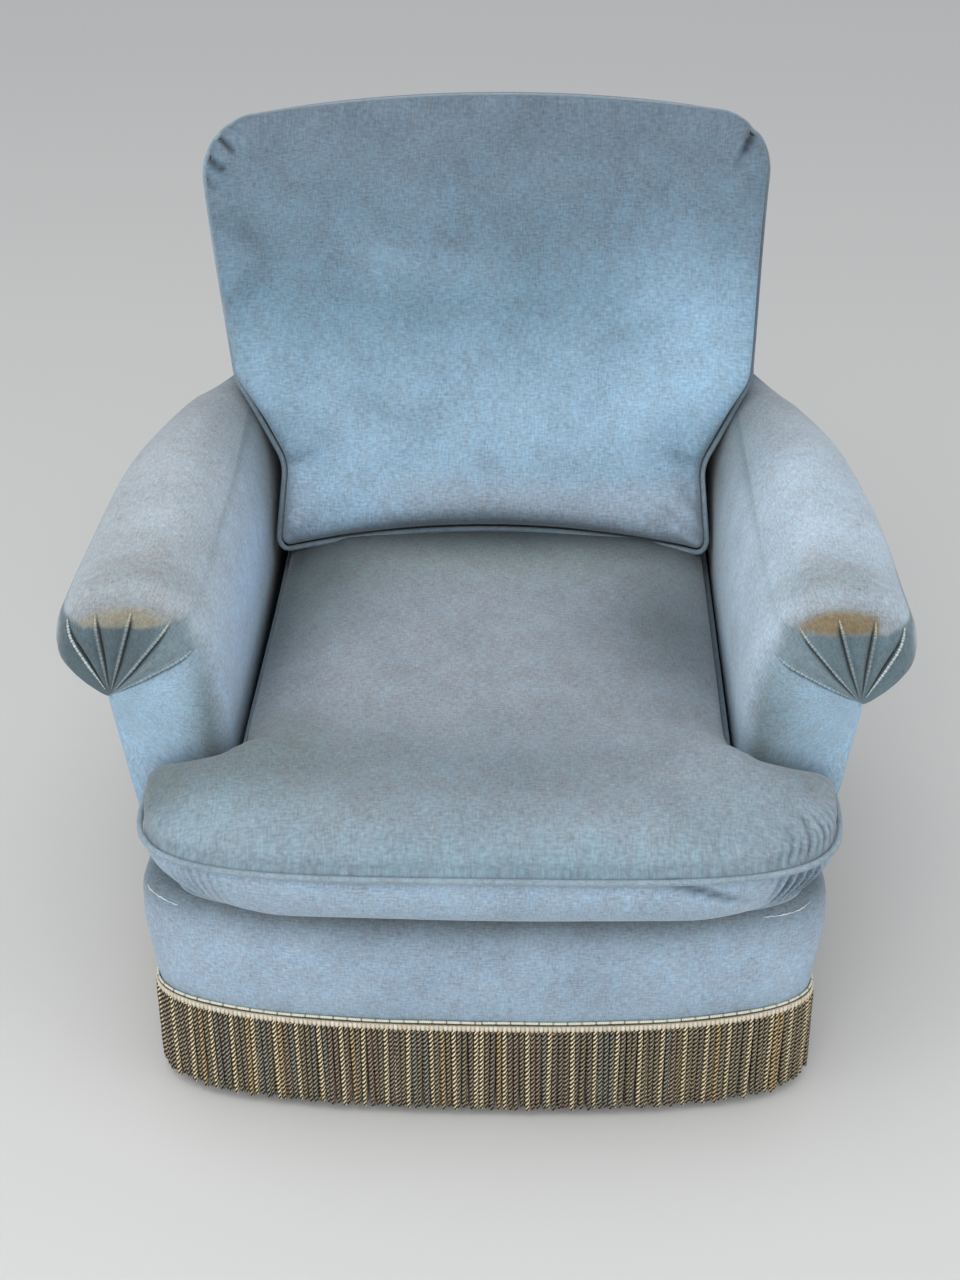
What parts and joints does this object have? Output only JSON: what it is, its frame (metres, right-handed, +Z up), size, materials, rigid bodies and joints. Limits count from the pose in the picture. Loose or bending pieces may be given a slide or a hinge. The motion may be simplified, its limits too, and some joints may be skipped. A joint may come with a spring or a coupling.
{
  "type": "armchair",
  "caption": "Old upholstered club armchair with pleated scroll arms, loose boxed T-shaped cushions and a bullion fringe, in faded blue velvet.",
  "frame": {"origin": "on the floor, under the middle of the whole chair's box", "axes": "+X to the right as one faces the chair, -Y the way the chair faces, +Z up"},
  "size_m": [0.8772, 0.9417, 0.8638],
  "materials": {
    "velvet_back": "faded cotton velvet, slate blue",
    "velvet_seat": "faded cotton velvet, greyed by use",
    "velvet_arm": "faded cotton velvet, greyed by use",
    "velvet_base": "cotton velvet, light blue, little worn",
    "velvet_piping": "cord covered in the same velvet",
    "beech": "planed beech, waxed legs",
    "jute_web": "woven jute webbing",
    "hessian": "coarse hessian",
    "calico": "unbleached calico",
    "black_cloth": "black lining cloth",
    "spring_steel": "coppered spring wire",
    "glide_steel": "nickelled, scuffed",
    "fringe_olive": "twisted cotton cords in olive, brown, khaki and cream",
    "fringe_cream": "cream woven heading"
  },
  "bodies": {
    "root": {"right_front_leg": "beech", "right_front_glide": "glide_steel", "right_front_block": "beech", "right_rear_leg": "beech", "right_rear_glide": "glide_steel", "right_rear_block": "beech", "right_seat_rail": "beech", "right_back_post": "beech", "right_front_post": "beech", "right_arm_rail": "beech", "right_tacking_rail": "beech", "right_arm": "velvet_arm", "right_outside_arm": "velvet_base", "left_front_leg": "beech", "left_front_glide": "glide_steel", "left_front_block": "beech", "left_rear_leg": "beech", "left_rear_glide": "glide_steel", "left_rear_block": "beech", "left_seat_rail": "beech", "left_back_post": "beech", "left_front_post": "beech", "left_arm_rail": "beech", "left_tacking_rail": "beech", "left_arm": "velvet_arm", "left_outside_arm": "velvet_base", "front_seat_rail": "beech", "back_seat_rail": "beech", "lower_back_rail": "beech", "top_back_rail": "beech", "long_strap_1": "jute_web", "cross_strap_1": "jute_web", "long_strap_2": "jute_web", "cross_strap_2": "jute_web", "long_strap_3": "jute_web", "cross_strap_3": "jute_web", "spring_1": "spring_steel", "spring_2": "spring_steel", "spring_3": "spring_steel", "spring_4": "spring_steel", "spring_5": "spring_steel", "spring_6": "spring_steel", "spring_7": "spring_steel", "spring_8": "spring_steel", "spring_9": "spring_steel", "spring_hessian": "hessian", "seat_platform": "calico", "dust_cover": "black_cloth", "front_border": "velvet_base", "inside_back": "velvet_back", "outside_back": "velvet_back", "seat_cushion": "velvet_seat", "back_cushion": "velvet_back", "seat_piping_top": "velvet_piping", "seat_piping_bottom": "velvet_piping", "back_piping_front": "velvet_piping", "back_piping_rear": "velvet_piping", "fringe_heading": "fringe_cream", "bullion_fringe": "fringe_olive"}
  },
  "joints": []
}
